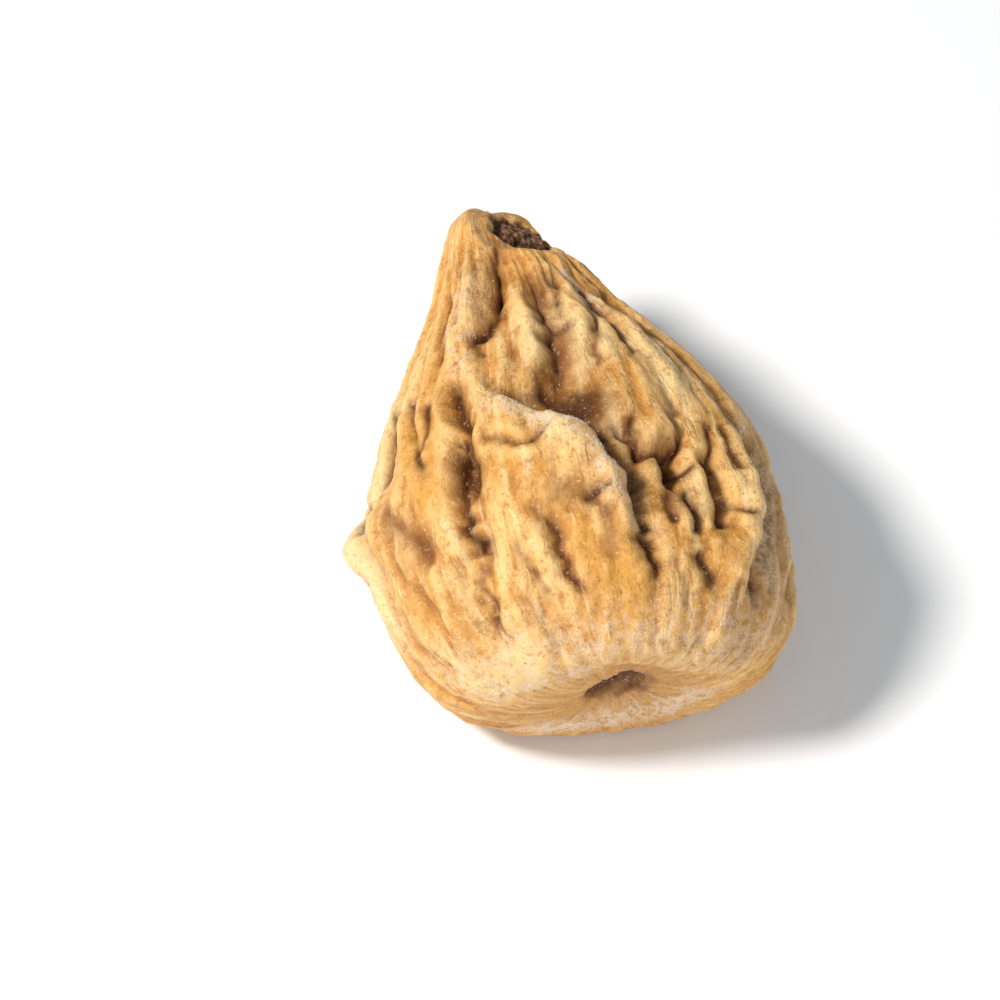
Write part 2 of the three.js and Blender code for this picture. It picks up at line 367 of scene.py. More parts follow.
# The neck: the groove beside its left ridge, a leaf-shaped panel, a reddish groove, two ridges.
fold([(-15, 63), (-18, 59), (-20, 55), (-24, 51), (-27, 48), (-25, 45.5)], 1.35, 0.75,
     lip=0.35, red=0.5)
fold([(-52, 58), (-50, 54), (-47, 50), (-46, 47)], 0.6, 0.6, lip=0.5, shade_strength=0.4)
fold([(5, 59), (4, 55), (3.5, 51.8), (3.8, 49), (3.5, 46.2), (2, 43.6), (2, 41.5)], 1.25, 0.7,
     lip=0.35, red=0.9, shade_strength=0.6, ends=(0.3, 0.2))
brushed("red", [(5.5, 51), (6, 48.5), (6, 45.5), (4.5, 43)], 1.1, 1.0)
brushed("brown", [(5, 50.5), (5.5, 48), (5.5, 45.5), (4, 43.5)], 0.9, 0.85)
fold([(15, 57), (12.3, 53.1), (11.2, 50.5), (8.5, 47.5)], 0.9, 0.5, lip=0.4, shade_strength=0.9)
fold([(27, 53), (23, 49.5), (20, 47), (16.5, 44.5), (13.5, 42)], 0.9, 0.6, lip=0.35, shade_strength=0.5,
     red=0.3)
fold([(33, 58), (34, 52), (32, 48), (30, 45), (28, 42)], 0.9, 0.7, lip=0.3, shade_strength=0.6)
fold([(48, 55), (47, 50), (46, 46)], 0.9, 0.7, shade_strength=0.5)
swelling(-6, 49, 1.5, 5.5, 0.6)
swelling(11.5, 47, 1.2, 6.0, 0.7)
swelling(21, 46.5, 1.1, 5.5, 0.6)
swelling(33, 45, 1.6, 5.0, 0.5)
swelling(-8.5, 56, 1.0, 2.4, -0.6)
brushed("brown", [(-8.5, 59), (-10.5, 57), (-12.5, 54.5)], 1.0, 0.35)
brushed("brown", [(-16, 48), (-15, 46), (-13, 44)], 1.0, 0.4)
swelling(-36, 52, 1.5, 8.0, 0.45)
swelling(-12, 57.5, 1.3, 2.0, -0.5)

# The crumpled ground right of the panel: lumps like a walnut's between short deep folds.
fold([(11, 37.5), (15, 35), (16, 33), (13, 31.5)], 0.9, 0.55, red=0.3)
fold([(19, 38), (17, 35.5), (17.5, 32.8), (21, 32.2), (24.5, 32), (25, 30.5), (24, 28.5)],
     1.2, 0.6, red=0.3)
swelling(26.3, 31.3, 1.0, 1.8, -1.5)
fold([(31.5, 37), (30, 34), (28, 32)], 1.0, 0.5)
fold([(28, 34), (25.8, 32.3), (23.8, 30.5), (22.5, 28.8)], 1.3, 0.55, lip=0.3)
brushed("brown", [(14, 34.5), (19, 32), (20.5, 29), (27, 27.5), (30, 25.5)], 2.2, 0.8)
fold([(9, 32), (11.5, 30), (12.3, 27.5), (11.5, 25.5), (12.3, 23.5), (14, 21), (15, 18)],
     1.25, 0.65, lip=0.35, ends=(0.1, 0.35), red=0.3)
fold([(22, 29), (20.5, 27), (21, 25.5)], 0.7, 0.5)
fold([(27, 29.5), (29, 27.5), (29, 25.5), (26, 24.6)], 1.1, 0.6)
fold([(36.5, 33), (38, 30.5), (38, 27.5), (38, 25)], 1.7, 0.62, lip=0.35, ends=(0.3, 0.08))
fold([(41.5, 36), (39.5, 33.5), (40, 31.5), (42, 30)], 0.9, 0.55)
fold([(29, 23), (31, 20.5), (33, 18.5)], 1.0, 0.6, ends=(0.15, 0.4))
fold([(38, 27.4), (43, 27), (49, 27)], 0.6, 0.45)
fold([(33, 30.6), (29, 30.2), (25, 30.6)], 0.5, 0.45)
fold([(48, 36), (47, 33), (48, 30)], 0.7, 0.6)
swelling(20, 34.3, 1.7, 1.6, 0.75)
swelling(19, 30.8, 1.5, 1.7, 0.6)
swelling(24.5, 27, 1.4, 1.7, 0.7)
swelling(33, 28.5, 1.5, 2.2, 0.7)
swelling(34, 33.5, 1.4, 2.4, 0.6)
swelling(44, 32, 1.5, 3.0, 0.5)
swelling(27, 35.5, 1.3, 2.0, 0.5)
swelling(52, 26.5, 1.2, 4.0, 0.5)
swelling(35, 23, 2.2, 2.4, 0.4)

# The long fold down the right edge.
fold([(62, 36), (59, 33), (57.5, 30), (56, 27.5), (53.5, 24.5), (51, 22), (50.5, 20), (53, 16)],
     1.6, 0.85, lip=0.35, ends=(0.2, 0.3))

# The belly: softer folds that follow the skin down to the eye, with amber between them.
fold([(-17.5, 29.5), (-14.3, 27), (-11.4, 25.3), (-10.8, 23.2), (-9.2, 20.8), (-7.2, 18.9)],
     0.95, 0.5, lip=0.4, shade_strength=0.8, red=0.6)
fold([(-4, 27.8), (0, 28.1), (4, 28.4), (8, 28.6)], 0.8, 0.5, shade_strength=0.9, red=0.9)
brushed("brown", [(-9, 29.6), (-5, 28.8), (1, 28)], 1.4, 0.9)
brushed("amber", [(-8, 27), (-6, 24.5), (-4, 22)], 1.6, 0.9)
brushed("amber", [(2, 27), (4, 23), (5, 18), (4, 14.5)], 2.6, 1.0)
brushed("amber", [(-22, 20), (-14, 16.5), (-8, 14)], 1.5, 0.5)
brushed("amber", [(-62, 46), (-54, 40), (-46, 34), (-42, 28)], 2.2, 0.9)
brushed("amber", [(-46, 50), (-43, 44), (-38, 38)], 1.6, 0.8)
brushed("amber", [(-27, 40), (-24, 36), (-24, 30)], 2.0, 0.6)
brushed("amber", [(-70, 22), (-56, 20), (-40, 17)], 1.3, 0.5)
fold([(1, 28.5), (2, 25), (2.5, 22)], 0.35, 0.5, shade_strength=0.3, red=0.6)
fold([(-24, 27), (-21, 23), (-19, 19)], 0.55, 0.7, shade_strength=0.3)
fold([(-41, 27), (-38, 23), (-34, 19)], 0.6, 0.8, shade_strength=0.3)
fold([(-50, 24), (-44, 20), (-38, 16)], 0.5, 0.8, shade_strength=0.2)
fold([(21, 23), (21.5, 20), (22, 17)], 0.45, 0.6, shade_strength=0.4)
fold([(42, 21), (41, 18.5), (43, 16)], 0.5, 0.6, shade_strength=0.4)
swelling(6, 22, 2.4, 4.5, 0.35)
swelling(-6, 31, 3.0, 4.0, 0.45)
swelling(-22, 31, 3.4, 5.0, 0.5)
swelling(-25, 24, 2.0, 4.0, 0.3)

fold([(-55, 34), (-48, 28), (-40, 21), (-33, 15)], 0.75, 1.0, shade_strength=0.2)
fold([(-66, 30), (-60, 24), (-52, 18), (-44, 14)], 0.65, 1.1, shade_strength=0.2)
fold([(-27, 22), (-22, 17), (-18, 13)], 0.5, 0.9, shade_strength=0.15)
fold([(-15, 19), (-12, 15), (-10, 12)], 0.35, 0.8, shade_strength=0.1)
fold([(-76, 27), (-72, 20), (-66, 15)], 0.65, 1.1, shade_strength=0.2)
fold([(12, 20), (12, 16), (11, 13)], 0.35, 0.8, shade_strength=0.1)
fold([(33, 19), (30, 15), (26, 12)], 0.35, 0.8, shade_strength=0.1)

# Where the skin is palest, dustiest and greyest. The cream down the lit left flank is partly
# painted light, and the grey-brown down the right edge is partly painted shade, with a painted
# shade line beside its rim.
brushed("pale", [(12, 54), (11.5, 50), (12, 46), (9, 42)], 1.1, 1.0)
brushed("pale", [(27, 51), (22.5, 46.5), (19, 42)], 0.9, 1.0)
brushed("pale", [(40, 50), (36, 45), (34, 40), (42, 36)], 1.6, 0.9)
brushed("pale", [(-9, 53), (-6, 50), (-4, 46.5), (-4, 43)], 1.3, 1.0)
# Cream down the left flank: partly the skin's paler colour, partly painted light where the flank
# is lit.
brushed("pale", [(-82, 55), (-80, 45), (-84, 30), (-78, 20)], 2.6, 0.8)
brushed("pale", [(52, 32), (51, 28), (51, 24)], 0.9, 0.8)
brushed("pale", [(-5, 36), (-6, 31), (-8, 27)], 1.2, 0.5)
brushed("dusty", [(-36, 60), (-37, 52), (-33, 46), (-27, 43)], 1.2, 0.55)
brushed("dusty", [(-85, 13), (-50, 12), (-20, 11.2), (5, 11)], 0.9, 0.8)
brushed("dusty", [(20, 11), (45, 11.5), (75, 13)], 1.2, 0.45)
brushed("dusty", [(-84, 17), (-45, 15.5), (0, 14.5), (40, 15.5), (82, 18)], 3.2, 0.42,
        ends=(0.1, 0.1))
brushed("dusty", [(-88, 44), (-84, 34), (-86, 24), (-84, 16)], 1.8, 0.4)
brushed("dusty", [(-112, 10), (-127, 8.9), (-144, 7.3), (-167, 6), (-190, 5.6), (-208, 5.6),
                  (-235, 6), (-258, 6.6), (-275, 8.6), (-286, 10.5)], 1.5, 1.0, ends=(0.1, 0.1))
brushed("grey", [(20, 57), (28, 54), (36, 51), (42, 48)], 1.0, 0.8)
brushed("dusty", [(22, 57.5), (30, 54.5), (38, 51)], 0.7, 0.8)
brushed("dusty", [(8, 30), (9, 27), (9, 24)], 0.8, 0.7)
brushed("dusty", [(64, 36), (62, 30), (58, 24), (60, 17)], 1.4, 0.6)
# Cream low on the left of the belly: partly the skin's paler colour, partly painted light where
# it is lit.
brushed("pale", [(-76, 15), (-60, 13.5), (-40, 13.5), (-22, 13)], 2.8, 0.9)
brushed("pale", [(-25, 13.5), (0, 13), (35, 13.5), (65, 15)], 2.2, 0.2)
brushed("dusty", [(-6, 19), (-3, 16), (-3, 14)], 1.1, 0.6)
brushed("dusty", [(-22, 40), (-14, 39), (-7, 36.6), (0, 34.4), (5, 32)], 1.0, 0.9)
# Grey-brown down the right edge: partly the skin's colour, partly painted shade where that edge
# is turned from the light.
brushed("grey", [(66, 38), (66, 30), (62, 22), (64, 14)], 3.0, 0.65)
# Painted shade: a line along the right side of the raised rim down the right edge.
brushed("painted_shade", [(69, 38), (67, 34), (64, 30), (61, 26), (58, 22), (58, 18)], 0.7, 0.4)
brushed("dusty", [(62, 40), (59, 34), (54.5, 29), (52.5, 25), (50, 21)], 0.7, 0.7)
brushed("grey", [(-4, 41.5), (3, 39), (9, 35)], 1.5, 0.7)
brushed("grey", [(48, 17), (56, 14), (64, 12)], 2.0, 0.7)

# The end of a fold that stands out on the left, with a short groove over it.
fold([(-86, 37), (-84, 34.5), (-76, 33)], 1.0, 0.8)
swelling(-85, 30.5, 2.4, 2.6, 0.7)

# The sides and the back, less sharply folded.
for place, path in enumerate([
    [(92, 44), (96, 36), (90, 27), (94, 18)], [(128, 47), (122, 38), (130, 28), (127, 20)],
    [(108, 40), (111, 33), (107, 25)], [(78, 42), (76, 34), (80, 26), (77, 19)],
    [(-92, 45), (-98, 36), (-92, 26), (-97, 17)], [(-112, 42), (-108, 34), (-114, 27)],
    [(-132, 46), (-126, 37), (-134, 28), (-128, 19)], [(172, 46), (176, 38), (170, 30)],
    [(-152, 48), (-156, 40), (-150, 33)], [(148, 48), (152, 41), (146, 33)],
]):
    fold(path, 1.1, 0.85, lip=0.35, shade_strength=0.7, wobble=2.0, seed=40 + place)


# Drying skin buckles at a spacing of its own and its pleats split and join as the fruit widens.
# The pattern is grown by letting a flat sheet buckle until it settles, then wrapped on.
SHEET_WIDE = 75.4  # once round where the fruit is 24 mm thick: the pleats spread where it is more
SHEET_TALL = 84.0
SHEET_CELLS = 512


def buckled_sheet(seed, spacing, lengthwise, rounds=170, stride=0.35):
    """Rounded pleats between 0 and 1; the larger lengthwise is, the more they run that way."""
    rng = np.random.default_rng(seed)
    sheet = rng.normal(0, 0.3, (SHEET_CELLS, SHEET_CELLS))
    kx = np.fft.rfftfreq(SHEET_CELLS, SHEET_WIDE / SHEET_CELLS) * spacing
    ky = np.fft.fftfreq(SHEET_CELLS, SHEET_TALL / SHEET_CELLS) * spacing
    kx, ky = np.meshgrid(kx, ky)
    growth = 0.55 - (1 - kx**2 - ky**2) ** 2 - lengthwise * ky**2
    share = 1 / (1 - stride * growth)
    for _ in range(rounds):
        pull = np.fft.rfft2(-(sheet**3) + 0.35 * sheet**2)
        sheet = np.fft.irfft2((np.fft.rfft2(sheet) + stride * pull) * share, s=sheet.shape)
    sheet = sheet / np.percentile(np.abs(sheet), 97)
    return np.sqrt(np.clip(0.5 + 0.5 * sheet, 0, 1))


def wrapped(sheet, sway=0.0):
    """A flat sheet laid on the skin: its width goes once round, its height along."""
    tall_cells, wide_cells = sheet.shape
    swayed = DEGREES + sway * (np.sin(0.13 * RUN + 0.4) + 0.6 * np.sin(0.31 * RUN + 2.0))
    x = (swayed / 360 % 1) * wide_cells
    y = (RUN / SHEET_TALL) * tall_cells
    x0, y0 = np.floor(x).astype(int), np.floor(y).astype(int)
    fx, fy = x - x0, y - y0
    x0, x1 = x0 % wide_cells, (x0 + 1) % wide_cells
    y0, y1 = y0 % tall_cells, (y0 + 1) % tall_cells
    low = sheet[y0, x0] * (1 - fx) + sheet[y0, x1] * fx
    high = sheet[y1, x0] * (1 - fx) + sheet[y1, x1] * fx
    return low * (1 - fy) + high * fy


pleats = wrapped(buckled_sheet(3, spacing=2.4, lengthwise=3.0), sway=3.0)
broad_pleats = wrapped(buckled_sheet(5, spacing=4.8, lengthwise=3.5), sway=4.0)
crumples = wrapped(buckled_sheet(8, spacing=2.6, lengthwise=0.0))
creases = wrapped(buckled_sheet(11, spacing=1.15, lengthwise=0.35), sway=2.0)

crumpled = bell(SIGNED, 33, 20) * bell(RUN, 31, 8)
drawn_in = ease(RUN, 8, 20) * (1 - 0.9 * ease(RUN, 61, 65))
quiet_panel = bell(SIGNED, -2, 26) * bell(RUN, 21, 9)
back = ease(np.abs(SIGNED), 60, 100)
quiet_neck = bell(SIGNED, 12, 34) * ease(RUN, 42, 50)
pleat_depth = (0.33 + 0.33 * back + 0.2 * ease(RUN, 30, 45)) * (1 - 0.5 * quiet_panel)
pleat_depth = pleat_depth * (1 - 0.6 * quiet_neck)
broad_depth = (0.68 + 0.45 * back) * (1 - 0.45 * quiet_panel)
rise += drawn_in * pleat_depth * (1 - 0.8 * crumpled) * (pleats - pleats.mean())
rise += drawn_in * broad_depth * (broad_pleats - broad_pleats.mean())
rise += crumpled * 0.45 * (crumples - crumples.mean())
rise += ease(RUN, 4, 12) * (1 - ease(RUN, 61, 65)) * 0.2 * (creases - creases.mean())
rise += ease(RUN, 4, 9) * (0.05 * ripple(plain, 2.4, 330) + 0.03 * ripple(plain, 1.1, 331))

# A notch in the lip of the base lays the eye open to the upper side.
swelling(4, 6.6, 4.2, 3.0, -1.9)
swelling(22, 6.5, 3.0, 2.4, -0.4)

# The eye: a slanting, puckered hole in the base, with fine folds drawn in towards it.
EYE_PLACE = (0.0, 0.9)
EYE_LONG = (0.94, 0, 0.34)
EYE_SHORT = (-0.34, 0, 0.94)
EYE_DEPTH = 1.3
EYE_RIM = 0.22
eye_away = felt - plain_skin(*np.array(EYE_PLACE))
eye_gap = np.sqrt((eye_away @ EYE_LONG) ** 2 + (1.6 * (eye_away @ EYE_SHORT)) ** 2
                  + (0.4 * eye_away[..., 1]) ** 2)
eye_gap = eye_gap * (1 + 0.16 * ripple(plain, 2.0, 341))
spokes = np.cos(np.radians(DEGREES * 24) + 2 * np.sin(np.radians(DEGREES * 3)))
spokes += 0.6 * np.cos(np.radians(DEGREES * 41) + 1.5 * np.sin(np.radians(DEGREES * 5)))
rise += 0.05 * spokes * bell(RUN, 6, 3.5)
rise -= EYE_DEPTH * np.exp(-((eye_gap / 1.8) ** 3))
rise += EYE_RIM * bell(eye_gap, 3.0, 0.9)
rise += 0.22 * ripple(plain, 0.8, 340) * np.exp(-((eye_gap / 2.1) ** 4))
marks["eye"] = np.exp(-((eye_gap / 2.5) ** 4))
marks["red"] = np.maximum(marks["red"], 0.9 * bell(eye_gap, 2.4, 1.2))

# The stem end: folds run out before it, and the skin stands up as a thin rim round the dry,
# torn scar of the stem.
SCAR_MIDDLE = (1.45, 46.2, 1.1)
SCAR_LONG = (0.67, -0.74, -0.03)
SCAR_SHORT = (0.54, 0.52, -0.65)
SCAR_HALF_LONG, SCAR_HALF_SHORT = 3.2, 3.1
SCAR_RIM = 0.3
SCAR_TRENCH = 0.75
folds_left = 1 - 0.85 * ease(stem_cut_depth(*uncut(DEGREES, RUN)), -2.2, -0.2)
rise *= folds_left
shift *= folds_left[..., None]
from_scar = fruit_place(DEGREES, RUN) - SCAR_MIDDLE
scar_gap = np.hypot(from_scar @ SCAR_LONG / SCAR_HALF_LONG,
                    from_scar @ SCAR_SHORT / SCAR_HALF_SHORT)
scar_gap = scar_gap + 0.07 * ripple(plain, 1.8, 352) + 0.03 * ripple(plain, 0.8, 353)
scar_gap = scar_gap + 3 * ease(np.abs(from_scar @ STEM_CUT_FACES), 1.0, 2.0)
scar = 1 - ease(scar_gap, 0.86, 1.0)
rise += SCAR_RIM * bell(scar_gap, 1.16, 0.17) * (1 + 0.5 * uneven)
rise -= SCAR_TRENCH * bell(scar_gap, 0.86, 0.15)
rise += scar * (0.35 * ripple(plain, 1.5, 350) + 0.15 * ripple(plain, 0.7, 351) + 0.1)
marks["stem"] = scar
# Painted shadow in the trench round the scar; the folds' painted shade is taken off the scar
# itself.
marks["painted_shade"] = np.maximum(marks["painted_shade"] * (1 - scar), 0.95 * bell(scar_gap, 0.88, 0.1))
marks["brown"] = np.maximum(marks["brown"], 0.45 * bell(scar_gap, 1.3, 0.25))

# At the very tip the folds have run out.
TIP_FROM = SKIN_LENGTH - 3.0
short_of_tip = 1 - ease(RUN, TIP_FROM, SKIN_LENGTH - 0.4)
rise *= short_of_tip
shift *= short_of_tip[..., None]

# Settle the skin: soften what is finer than it can fold, round off the tip of the neck, then
# press the back flat on the table.
TIP_PULLED_IN = 0.5
table_height = plain[..., 2].min() + REST_CUT
points = plain + shift + outward * rise[..., None]


def softened(values, rounds):
    for _ in range(rounds):
        round_about = (np.roll(values, 1, axis=1) + np.roll(values, -1, axis=1)) / 2
        padded = np.concatenate([values[:1], values, values[-1:]])
        along = (padded[:-2] + padded[2:]) / 2
        values = 0.5 * values + 0.25 * round_about + 0.25 * along
    return values


points = softened(points, 1)
at_tip = ease(RUN, TIP_FROM, SKIN_LENGTH - 0.8)[..., None]
points = points * (1 - at_tip) + softened(points, 24) * at_tip
tip_away = np.linalg.norm(points - points[-1].mean(axis=0), axis=-1)
neck_way = np.array([0, math.cos(NECK_LIFT), math.sin(NECK_LIFT)])
points = points - TIP_PULLED_IN * bell(tip_away, 0, 1.3)[..., None] * neck_way
valley = softened(rise, 60) - rise
fine_valley = softened(rise, 8) - rise
stem_point = points[-1].mean(axis=0)
eye_point = points[0].mean(axis=0)
grown = np.vstack([eye_point[None], points.reshape(-1, 3), stem_point[None]])
grown[:, 2] = eased_clamp(grown[:, 2] - table_height, REST_EASE)
low, high = grown.min(axis=0), grown.max(axis=0)
box_middle = [(a + b) / 2 / MM for a, b in zip(*cad_box)]
to_frame = np.array([box_middle[0] - (low[0] + high[0]) / 2,
                     box_middle[1] - (low[1] + high[1]) / 2, 0.0])
grown += to_frame

# Close the rings into one skin.
ring = np.arange(RINGS - 1)[:, None] * AROUND + 1
step = np.arange(AROUND)[None, :]
next_step = (step + 1) % AROUND
quads = np.stack([ring + step, ring + next_step, ring + AROUND + next_step,
                  ring + AROUND + step], axis=-1).reshape(-1, 4)
last = 1 + (RINGS - 1) * AROUND
tip = len(grown) - 1
eye_fan = np.stack([np.zeros(AROUND, int), 1 + next_step[0], 1 + step[0]], axis=-1)
stem_fan = np.stack([np.full(AROUND, tip), last + step[0], last + next_step[0]], axis=-1)
faces = quads.tolist() + eye_fan.tolist() + stem_fan.tolist()
mesh = bpy.data.meshes.new("fig_skin")
mesh.from_pydata((grown * MM).tolist(), [], faces)
mesh.update()
mesh.shade_smooth()
fig = bpy.data.objects.new("fig_skin", mesh)
bpy.context.scene.collection.objects.link(fig)


# What the finish and the sugar need to know of each place on the skin is kept with the mesh.
def keep_mark(name, values, at_eye=0, at_stem=0):
    flat = np.concatenate([[at_eye], values.ravel(), [at_stem]])
    layer = mesh.attributes.new(name, "FLOAT", "POINT")
    layer.data.foreach_set("value", np.clip(flat, 0, 1).astype(np.float32))


# For painted shade and painted highlight: valley, fine_valley and crease say how far the skin
# lies below its smoothed self, crest and fine_crest how far above.
crest = ease(-valley, 0.0, 0.55)
keep_mark("valley", ease(valley, 0.0, 0.75))
keep_mark("crest", crest)
keep_mark("fine_valley", ease(fine_valley, 0.0, 0.16))
keep_mark("fine_crest", ease(-fine_valley, 0.0, 0.14))
keep_mark("crease", ease(fine_valley, 0.10, 0.30))
for name in MARKS:
    keep_mark(name, marks[name])
keep_mark("eye", marks["eye"], at_eye=1)
keep_mark("stem", marks["stem"], at_stem=1)
keep_mark("base_end", 1 - ease(RUN, 7.5, 11.0), at_eye=1)

patchy = np.clip(0.45 + 0.9 * ripple(plain, 2.2, 360) + 0.7 * ripple(plain, 0.9, 361), 0, 1)
bloom = marks["dusty"] + 0.25 * marks["eye"] + 0.02 * crest + 0.002
bloom = np.clip(bloom, 0, 1) * patchy**3
bloom *= (1 - marks["stem"]) * (1 - marks["painted_shade"]) * (1 - 0.95 * marks["brown"])
bloom *= ease(points[..., 2] - table_height, 0.3, 1.2)
keep_mark("sugar", bloom)

# A map of the skin laid out flat, once round by its length.
corners = np.empty(len(mesh.loops), dtype=np.int64)
mesh.loops.foreach_get("vertex_index", corners)
column = np.where((corners > 0) & (corners < tip), (corners - 1) % AROUND, 0)
row = np.clip((corners - 1) // AROUND, 0, RINGS - 1)
u = column / AROUND
v = (row + 0.5) / RINGS
v = np.where(corners == 0, 0, np.where(corners == tip, 1, v))
starts = np.empty(len(mesh.polygons), dtype=np.int64)
sizes = np.empty(len(mesh.polygons), dtype=np.int64)
mesh.polygons.foreach_get("loop_start", starts)
mesh.polygons.foreach_get("loop_total", sizes)
of_face = np.repeat(np.arange(len(starts)), sizes)
at_pole = (corners == 0) | (corners == tip)
u_low = np.minimum.reduceat(np.where(at_pole, 2.0, u), starts)
u_high = np.maximum.reduceat(np.where(at_pole, -1.0, u), starts)
wraps = (u_high - u_low > 0.5)[of_face]
u = np.where(wraps & (u < 0.5), u + 1, u)
u_middle = np.add.reduceat(np.where(at_pole, 0, u), starts) / np.maximum(
    np.add.reduceat((~at_pole).astype(float), starts), 1)
u = np.where(at_pole, u_middle[of_face], u)
flat_map = mesh.uv_layers.new(name="OFBake")
flat_map.data.foreach_set("uv", np.stack([u, v], axis=-1).astype(np.float32).ravel())

# Where each place would lie on a straight tube, in mm, for patterns that run along the skin.
TUBE_RADIUS = 12
on_tube = np.stack([TUBE_RADIUS * np.cos(np.radians(DEGREES)),
                    TUBE_RADIUS * np.sin(np.radians(DEGREES)), RUN], axis=-1)
on_tube = np.vstack([[[0, 0, 0]], on_tube.reshape(-1, 3), [[0, 0, SKIN_LENGTH]]])
layer = mesh.attributes.new("skin_way", "FLOAT_VECTOR", "POINT")
layer.data.foreach_set("vector", on_tube.astype(np.float32).ravel())

# The skin's finish: waxy, slightly see-through amber, with cream on the crests as painted
# highlight and orange to blackish brown in the folds as painted shade.
skin = bpy.data.materials.new("fig_skin")
skin.use_nodes = True
tree = skin.node_tree
tree.nodes.clear()


def node(kind, **settings):
    made = tree.nodes.new(kind)
    for name, value in settings.items():
        setattr(made, name, value)
    return made


def join(out_socket, in_socket):
    tree.links.new(out_socket, in_socket)


def mark(name):
    return node("ShaderNodeAttribute", attribute_name=name).outputs["Fac"]


def noise(coordinates, scale, detail=4.0, roughness=0.55, distortion=0.0):
    made = node("ShaderNodeTexNoise")
    join(coordinates, made.inputs["Vector"])
    made.inputs["Scale"].default_value = scale
    made.inputs["Detail"].default_value = detail
    made.inputs["Roughness"].default_value = roughness
    made.inputs["Distortion"].default_value = distortion
    return made.outputs["Fac"]


def spread(value, low, high, to_low=0.0, to_high=1.0):
    made = node("ShaderNodeMapRange", interpolation_type="SMOOTHSTEP")
    join(value, made.inputs["Value"])
    for name, number in zip(("From Min", "From Max", "To Min", "To Max"),
                            (low, high, to_low, to_high)):
        made.inputs[name].default_value = number
    return made.outputs["Result"]


def worked_out(way, *values, clamp=True):
    made = node("ShaderNodeMath", operation=way, use_clamp=clamp)
    for socket, value in zip(made.inputs, values):
        if isinstance(value, (int, float)):
            socket.default_value = value
        else:
            join(value, socket)
    return made.outputs[0]


def times(a, b):
    return worked_out("MULTIPLY", a, b)


def tinted(under, over, amount):
    made = node("ShaderNodeMix", data_type="RGBA")
    for socket, value in zip((made.inputs[6], made.inputs[7]), (under, over)):
        if isinstance(value, tuple):
            socket.default_value = (*value, 1)
        else:
            join(value, socket)
    join(amount, made.inputs[0])
    return made.outputs[2]


def along_skin(length_scale):
    """Coordinates for a pattern drawn out along the skin, the more so the smaller the scale."""
    made = node("ShaderNodeMapping")
    join(tube, made.inputs["Vector"])
    made.inputs["Scale"].default_value = (1.0, 1.0, length_scale)
    return made.outputs["Vector"]


here = node("ShaderNodeTexCoord").outputs["Object"]
tube = node("ShaderNodeAttribute", attribute_name="skin_way").outputs["Vector"]
lengthwise = along_skin(0.3)
drawn_long = along_skin(0.12)

AMBER = (0.58, 0.25, 0.028)
DEEP_AMBER = (0.66, 0.30, 0.030)
HONEY = (0.725, 0.352, 0.069)
CREAM = (0.875, 0.55, 0.205)
PALE_CREAM = (0.92, 0.69, 0.34)
BRIGHT_STREAK = (0.92, 0.68, 0.33)
PALE_SPECK = (0.88, 0.70, 0.46)
BASE_HONEY = (0.55, 0.27, 0.065)
ORANGE_BROWN = (0.32, 0.108, 0.018)
SKIN_BROWN_AND_SHADE = (0.19, 0.070, 0.016)
CREASE_BROWN = (0.10, 0.032, 0.010)
SHADE_BROWN = (0.060, 0.018, 0.007)
RED_BROWN = (0.22, 0.062, 0.020)
GREY_BROWN = (0.28, 0.175, 0.105)
DUSTY = (0.79, 0.59, 0.40)
EYE_DARK = (0.07, 0.014, 0.010)
EYE_FLESH = (0.28, 0.10, 0.06)
SCAR_DARK = (0.055, 0.022, 0.013)
SCAR_FIBRE = (0.34, 0.18, 0.09)

patches = noise(here, 150.0, 4.0, 0.6)
streaks = noise(drawn_long, 0.6, 5.0, 0.62, 0.35)
fine_streaks = noise(drawn_long, 1.5, 4.0, 0.6, 0.3)
blotches = noise(here, 330.0, 5.0, 0.65, 0.5)
skin_grain = noise(here, 950.0, 7.0, 0.72)
specks = noise(here, 3300.0, 3.0, 0.6)
torn = spread(noise(here, 1500.0, 4.0, 0.7), 0.42, 0.62)
dust = times(mark("dusty"), spread(noise(here, 1100.0, 5.0, 0.65), 0.40, 0.58))
brown_and_shade = times(mark("brown"), spread(blotches, 0.30, 0.60, 0.55, 1.0))

# Hair-thin wrinkles run lengthwise here and there.
off_wrinkle = worked_out("SUBTRACT", noise(drawn_long, 0.8, 2.0, 0.5, 0.3), 0.5, clamp=False)
off_wrinkle = worked_out("ABSOLUTE", off_wrinkle, clamp=False)
wrinkle = times(spread(off_wrinkle, 0.03, 0.0), spread(blotches, 0.42, 0.62))

# Each tint lies over the ones before it.
colour = tinted(AMBER, HONEY, spread(patches, 0.38, 0.60))
colour = tinted(colour, CREAM, times(spread(streaks, 0.46, 0.60), 0.72))
colour = tinted(colour, AMBER, times(spread(fine_streaks, 0.50, 0.40), 0.7))
# Painted highlight: cream on the crests.
colour = tinted(colour, CREAM, times(mark("crest"), 0.55))
colour = tinted(colour, CREAM, times(mark("pale"), 0.75))
# Painted shade: orange-brown in the valleys.
colour = tinted(colour, ORANGE_BROWN, times(mark("valley"), 0.62))
colour = tinted(colour, ORANGE_BROWN, times(spread(blotches, 0.56, 0.70), 0.35))
colour = tinted(colour, GREY_BROWN, times(mark("grey"), 0.7))
# Painted shade in the fine valleys and creases, painted highlight on the fine crests.
colour = tinted(colour, ORANGE_BROWN, times(mark("fine_valley"), 0.6))
colour = tinted(colour, CREAM, times(mark("fine_crest"), 0.5))
colour = tinted(colour, CREASE_BROWN, times(mark("crease"), 0.7))
